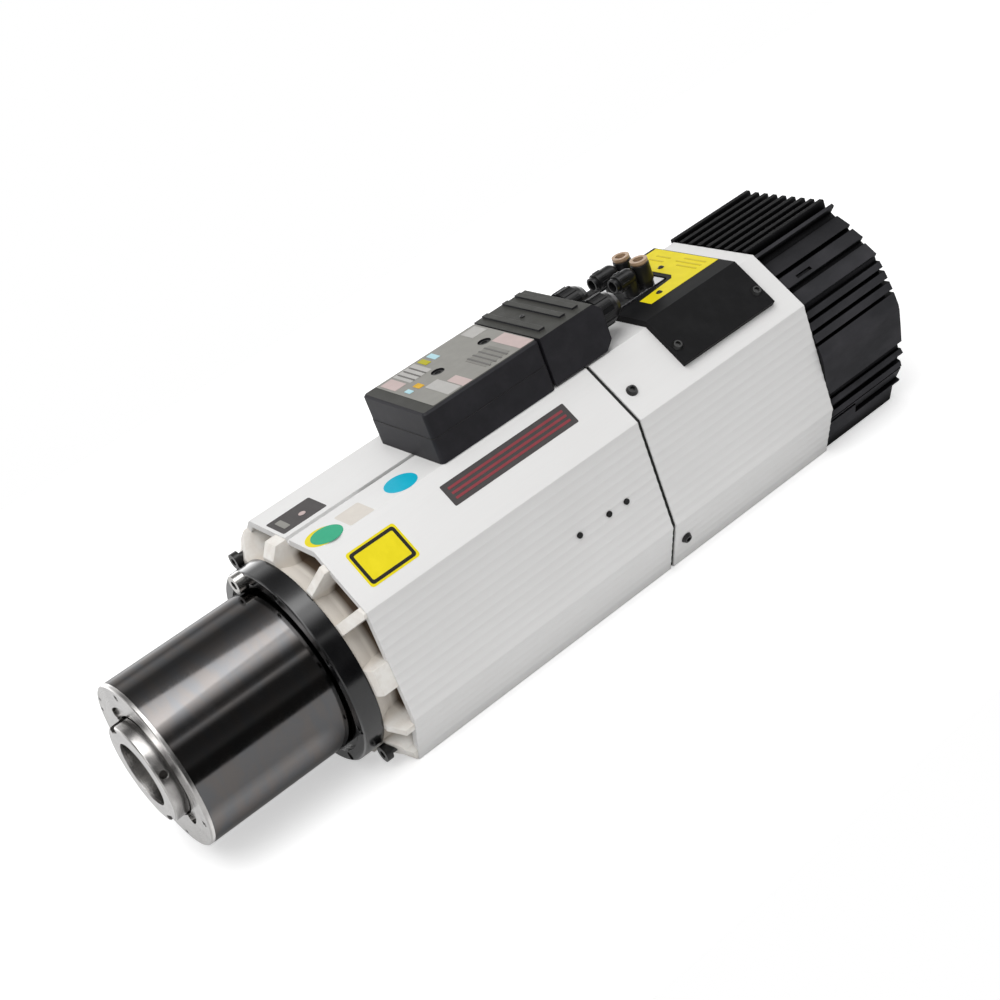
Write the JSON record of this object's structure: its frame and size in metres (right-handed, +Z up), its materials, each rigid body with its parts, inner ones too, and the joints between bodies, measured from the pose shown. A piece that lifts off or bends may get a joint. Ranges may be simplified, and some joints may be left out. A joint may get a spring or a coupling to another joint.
{
  "type": "cnc spindle motor",
  "caption": "Air-cooled milling spindle motor with automatic tool change: black nose cylinder, white eight-sided body, top connector, air fittings and a black finned fan cap.",
  "frame": {"origin": "on the spindle axis, at the shaft's end face, where the tool socket opens", "axes": "+Y along the spindle axis from the tool end towards the fan, +Z up from the mounting face to the connector, +X to the side with the access plate's slope"},
  "size_m": [0.1758, 0.6436, 0.2058],
  "materials": {
    "blackened_steel": "polished black oxide",
    "ground_steel": "ground bright",
    "bearing_steel": "ground",
    "spring_steel": "oiled",
    "lamination_steel": "varnished",
    "copper_windings": "varnished copper wire",
    "black_flange": "satin black oxide",
    "black_screws": "black oxide",
    "dark_steel_screws": "dark plated",
    "nickel_plate": "nickel plated",
    "casting_metal": "fine cast, pale coat",
    "white_coated_aluminium": "white satin coat",
    "plain_aluminium": "machined",
    "black_anodised": "black anodised extrusion",
    "black_plate": "satin black sheet",
    "connector_black": "matt moulded",
    "black_plastic": "moulded",
    "ball_cage": "phenolic cage with ceramic balls",
    "tan_plastic": "moulded",
    "black_rubber": "matt"
  },
  "bodies": {
    "housing": {"nose_housing": "blackened_steel", "nose_cover": "ground_steel", "nose_cover_screws": "dark_steel_screws", "front_flange": "black_flange", "flange_screws": "black_screws", "purge_fitting": "nickel_plate", "front_casting": "casting_metal", "casting_bolts": "black_screws", "front_cover": "white_coated_aluminium", "seam_gasket": "black_rubber", "rear_cover": "white_coated_aluminium", "cover_screws": "black_screws", "side_plugs": "dark_steel_screws", "cooling_sleeve": "plain_aluminium", "stator_core": "lamination_steel", "end_windings": "copper_windings", "rear_shield": "plain_aluminium", "bearing_outer_rings": "bearing_steel", "cylinder_body": "plain_aluminium", "cylinder_cap": "plain_aluminium", "sensor_bracket": "plain_aluminium", "position_sensors": "nickel_plate", "air_manifold": "plain_aluminium", "straight_fittings": "black_plastic", "access_plate": "black_plate", "access_plate_screws": "black_screws", "connector_base": "connector_black", "connector_housing": "connector_black", "connector_hood": "connector_black", "connector_screws": "dark_steel_screws", "cable_glands": "black_plastic", "gland_nuts": "black_plastic", "fin_cap": "black_anodised", "fan_frame": "black_plastic", "rear_guard": "black_plate", "guard_screws": "black_screws", "return_spring": "spring_steel"},
    "rotor": {"spindle_shaft": "ground_steel", "rotor_core": "lamination_steel", "bearing_inner_rings": "bearing_steel", "bearing_ball_rows": "ball_cage", "bearing_locknuts": "bearing_steel", "disc_springs": "spring_steel", "gripper_sleeve": "bearing_steel"},
    "drawbar": {"drawbar": "bearing_steel"},
    "piston": {"piston": "plain_aluminium", "piston_seal": "black_rubber"},
    "impeller": {"fan_impeller": "black_plastic"},
    "gripper_1": {"gripper_segment_1": "bearing_steel"},
    "gripper_2": {"gripper_segment_2": "bearing_steel"},
    "gripper_3": {"gripper_segment_3": "bearing_steel"},
    "gripper_4": {"gripper_segment_4": "bearing_steel"},
    "gripper_5": {"gripper_segment_5": "bearing_steel"},
    "gripper_6": {"gripper_segment_6": "bearing_steel"},
    "elbow_1": {"elbow_fitting_1": "black_plastic"},
    "elbow_release_1": {"elbow_collet_1": "black_plastic"},
    "straight_release_1": {"straight_collet_1": "tan_plastic"},
    "elbow_2": {"elbow_fitting_2": "black_plastic"},
    "elbow_release_2": {"elbow_collet_2": "black_plastic"},
    "straight_release_2": {"straight_collet_2": "tan_plastic"}
  },
  "joints": [
    {"name": "spindle_spin", "type": "hinge", "parent": "housing", "child": "rotor", "pos_m": [0, 0.2, 0], "axis": [0, 1, 0], "continuous": true},
    {"name": "piston_slide", "type": "slide", "parent": "housing", "child": "piston", "axis": [0, -1, 0], "range_m": [0, 0.01], "stiffness_N_per_m": 2000, "springref_m": -0.001, "deforming": ["return_spring"]},
    {"name": "drawbar_slide", "type": "slide", "parent": "rotor", "child": "drawbar", "axis": [0, -1, 0], "range_m": [0, 0.01], "deforming": ["disc_springs"]},
    {"name": "fan_spin", "type": "hinge", "parent": "housing", "child": "impeller", "pos_m": [0, 0.573, 0], "axis": [0, 1, 0], "continuous": true},
    {"name": "gripper_1_tilt", "type": "hinge", "parent": "rotor", "child": "gripper_1", "pos_m": [0.01494, 0.0493, 0.00863], "axis": [0.5, 0, -0.866], "range_deg": [0, 3.3]},
    {"name": "gripper_2_tilt", "type": "hinge", "parent": "rotor", "child": "gripper_2", "pos_m": [0, 0.0493, 0.01725], "axis": [1, 0, 0], "range_deg": [0, 3.3]},
    {"name": "gripper_3_tilt", "type": "hinge", "parent": "rotor", "child": "gripper_3", "pos_m": [-0.01494, 0.0493, 0.00863], "axis": [0.5, 0, 0.866], "range_deg": [0, 3.3]},
    {"name": "gripper_4_tilt", "type": "hinge", "parent": "rotor", "child": "gripper_4", "pos_m": [-0.01494, 0.0493, -0.00863], "axis": [-0.5, 0, 0.866], "range_deg": [0, 3.3]},
    {"name": "gripper_5_tilt", "type": "hinge", "parent": "rotor", "child": "gripper_5", "pos_m": [0, 0.0493, -0.01725], "axis": [-1, 0, 0], "range_deg": [0, 3.3]},
    {"name": "gripper_6_tilt", "type": "hinge", "parent": "rotor", "child": "gripper_6", "pos_m": [0.01494, 0.0493, -0.00863], "axis": [-0.5, 0, -0.866], "range_deg": [0, 3.3]},
    {"name": "elbow_1_swivel", "type": "hinge", "parent": "housing", "child": "elbow_1", "pos_m": [-0.0205, 0.477, 0.093], "axis": [0, 0, 1], "range_deg": [-60, 4]},
    {"name": "elbow_1_release", "type": "slide", "parent": "elbow_1", "child": "elbow_release_1", "axis": [0, 1, 0], "range_m": [0, 0.001], "stiffness_N_per_m": 200, "springref_m": -0.001},
    {"name": "straight_1_release", "type": "slide", "parent": "housing", "child": "straight_release_1", "axis": [0, 0, -1], "range_m": [0, 0.001], "stiffness_N_per_m": 200, "springref_m": -0.001},
    {"name": "elbow_2_swivel", "type": "hinge", "parent": "housing", "child": "elbow_2", "pos_m": [0, 0.477, 0.093], "axis": [0, 0, 1], "range_deg": [-4, 60]},
    {"name": "elbow_2_release", "type": "slide", "parent": "elbow_2", "child": "elbow_release_2", "axis": [0, 1, 0], "range_m": [0, 0.001], "stiffness_N_per_m": 200, "springref_m": -0.001},
    {"name": "straight_2_release", "type": "slide", "parent": "housing", "child": "straight_release_2", "axis": [0, 0, -1], "range_m": [0, 0.001], "stiffness_N_per_m": 200, "springref_m": -0.001}
  ],
  "couplings": [
    {"joint": "drawbar_slide", "follows": "piston_slide", "ratio": 1},
    {"joint": "gripper_1_tilt", "follows": "piston_slide", "rad_per_m": 5.759},
    {"joint": "gripper_2_tilt", "follows": "piston_slide", "rad_per_m": 5.759},
    {"joint": "gripper_3_tilt", "follows": "piston_slide", "rad_per_m": 5.759},
    {"joint": "gripper_4_tilt", "follows": "piston_slide", "rad_per_m": 5.759},
    {"joint": "gripper_5_tilt", "follows": "piston_slide", "rad_per_m": 5.759},
    {"joint": "gripper_6_tilt", "follows": "piston_slide", "rad_per_m": 5.759}
  ]
}
